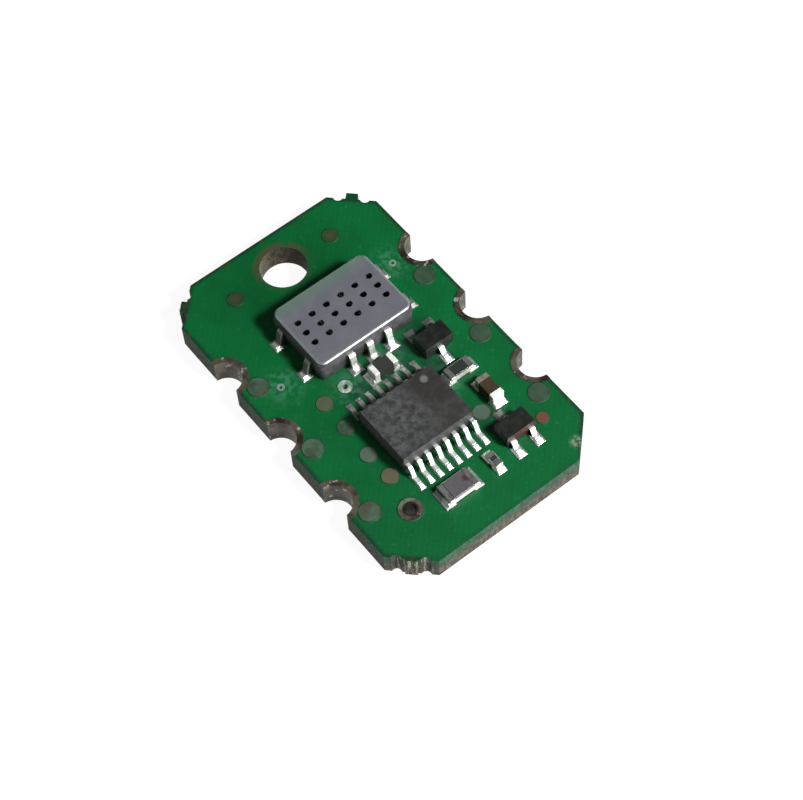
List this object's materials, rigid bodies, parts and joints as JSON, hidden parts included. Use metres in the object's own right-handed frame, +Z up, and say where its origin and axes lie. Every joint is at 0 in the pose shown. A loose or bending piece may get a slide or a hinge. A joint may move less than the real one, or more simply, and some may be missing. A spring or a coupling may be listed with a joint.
{
  "type": "gas sensor module",
  "caption": "Small green circuit board with half-round edge contacts, a mounting hole, a gas sensor under a perforated metal lid, and the chips that read it.",
  "frame": {"origin": "centre of the board's underside", "axes": "+X along the board, away from the mounting hole; +Y across the board; +Z up, out of the side that carries the components"},
  "size_m": [0.0228, 0.014, 0.0033],
  "materials": {
    "solder_mask": "glossy green mask on glass laminate",
    "plated_contact": "dull plated copper",
    "tinned_copper": "tinned copper",
    "bare_copper": "dull bare copper",
    "solder": "bright solder",
    "sensor_plastic": "moulded, matt",
    "lid_metal": "flat grey metal",
    "lead_metal": "tinned",
    "silicon": "polished silicon",
    "metal_oxide": "sintered",
    "gold_wire": "bright wire",
    "moulded_black": "moulded, matt",
    "alumina": "fired white",
    "black_glaze": "fired glaze",
    "chip_end_metal": "tinned",
    "brown_ceramic": "fired brown"
  },
  "bodies": {
    "root": {"board": "solder_mask", "edge_contact_1": "plated_contact", "edge_contact_2": "plated_contact", "edge_contact_3": "plated_contact", "edge_contact_4": "plated_contact", "edge_contact_5": "plated_contact", "edge_contact_6": "plated_contact", "test_hole": "plated_contact", "vias": "tinned_copper", "edge_test_pads": "bare_copper", "face_test_pads": "bare_copper", "sensor_lands": "tinned_copper", "sensor_solder": "solder", "ic_lands": "tinned_copper", "ic_solder": "solder", "transistor_lands": "tinned_copper", "transistor_solder": "solder", "chip_lands": "tinned_copper", "chip_solder": "solder", "sensor_base": "sensor_plastic", "sensor_lid": "lid_metal", "sensor_die_pad": "lead_metal", "sensor_die": "silicon", "sensing_spot": "metal_oxide", "sensor_bond_wires": "gold_wire", "sensor_leads_front": "lead_metal", "sensor_leads_back": "lead_metal", "sensor_leads_left": "lead_metal", "sensor_leads_right": "lead_metal", "ic_body": "moulded_black", "ic_leads_front": "lead_metal", "ic_leads_back": "lead_metal", "transistor_1_body": "moulded_black", "transistor_1_leads": "lead_metal", "transistor_2_body": "moulded_black", "transistor_2_leads": "lead_metal", "resistor_1_core": "alumina", "resistor_1_glaze": "black_glaze", "resistor_1_ends": "chip_end_metal", "resistor_2_core": "alumina", "resistor_2_glaze": "black_glaze", "resistor_2_ends": "chip_end_metal", "resistor_3_core": "alumina", "resistor_3_glaze": "black_glaze", "resistor_3_ends": "chip_end_metal", "capacitor_1_core": "brown_ceramic", "capacitor_1_ends": "chip_end_metal", "capacitor_2_core": "brown_ceramic", "capacitor_2_ends": "chip_end_metal"}
  },
  "joints": []
}
